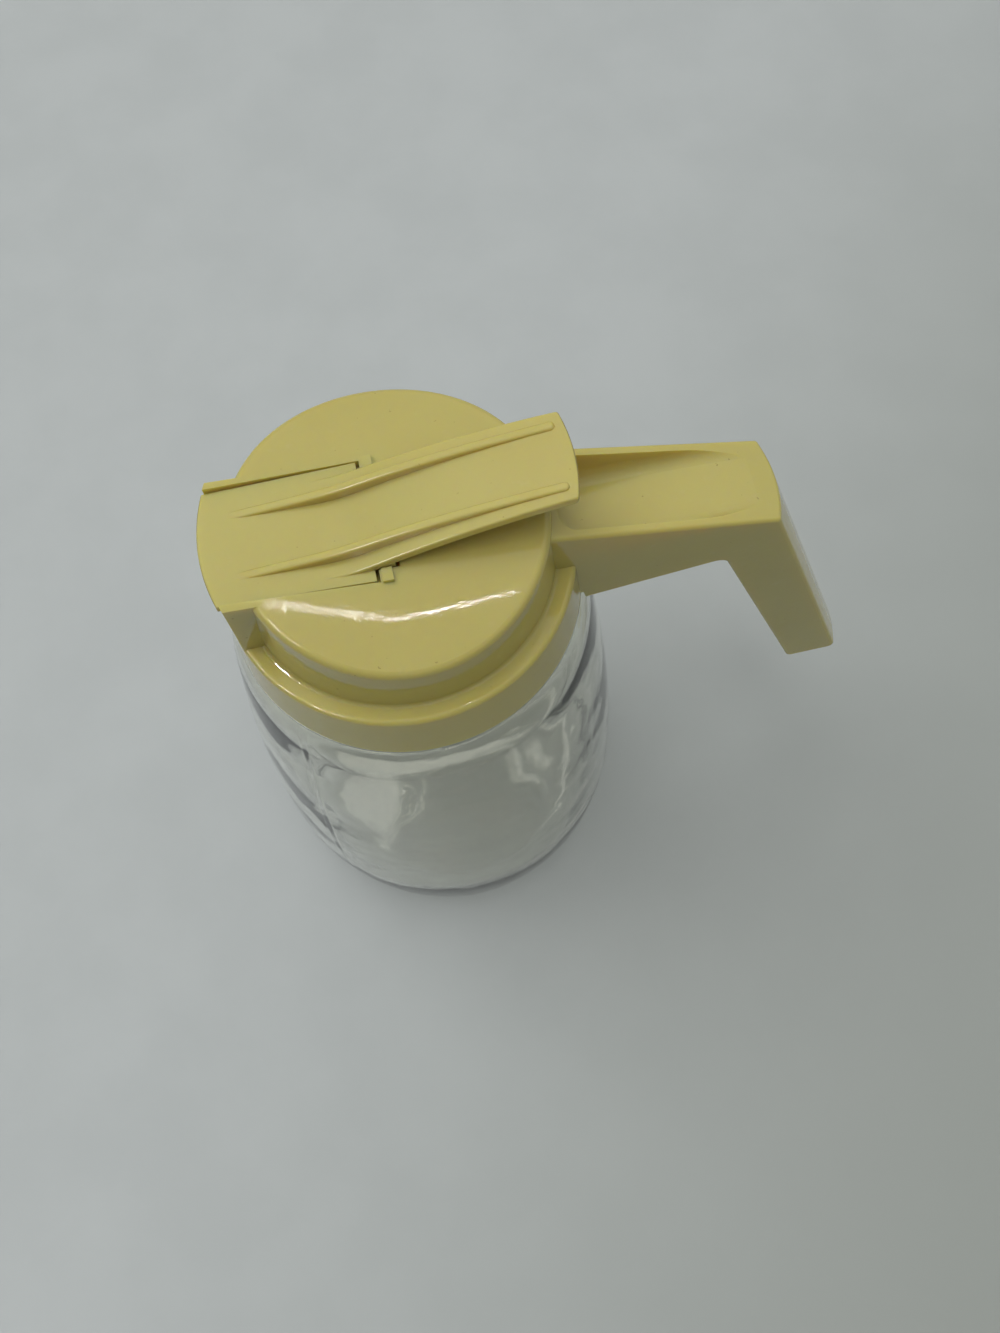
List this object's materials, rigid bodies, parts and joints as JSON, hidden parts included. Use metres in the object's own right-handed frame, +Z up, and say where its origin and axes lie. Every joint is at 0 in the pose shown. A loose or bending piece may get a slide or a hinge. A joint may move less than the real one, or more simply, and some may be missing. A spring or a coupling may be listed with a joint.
{
  "type": "syrup dispenser",
  "caption": "Clear jar with a moulded cap: side grip, drum with a pouring spout, and a rocking thumb lever whose flap closes the spout.",
  "frame": {"origin": "centre of the jar's foot, on the surface it stands on", "axes": "+Z up the jar's axis, +X towards the handle, the spout at -X; symmetric about the XZ plane"},
  "size_m": [0.1397, 0.0848, 0.157],
  "materials": {
    "clear_glass": "clear, smooth",
    "cap_plastic": "glossy",
    "lever_plastic": "glossy"
  },
  "bodies": {
    "body": {"jar": "clear_glass", "cap": "cap_plastic"},
    "lever": {"lever": "lever_plastic"}
  },
  "joints": [
    {"name": "lever_hinge", "type": "hinge", "parent": "body", "child": "lever", "pos_m": [-0.0015, 0, 0.1458], "axis": [0, 1, 0], "range_deg": [0, 10], "stiffness_Nm_per_rad": 0.03}
  ]
}
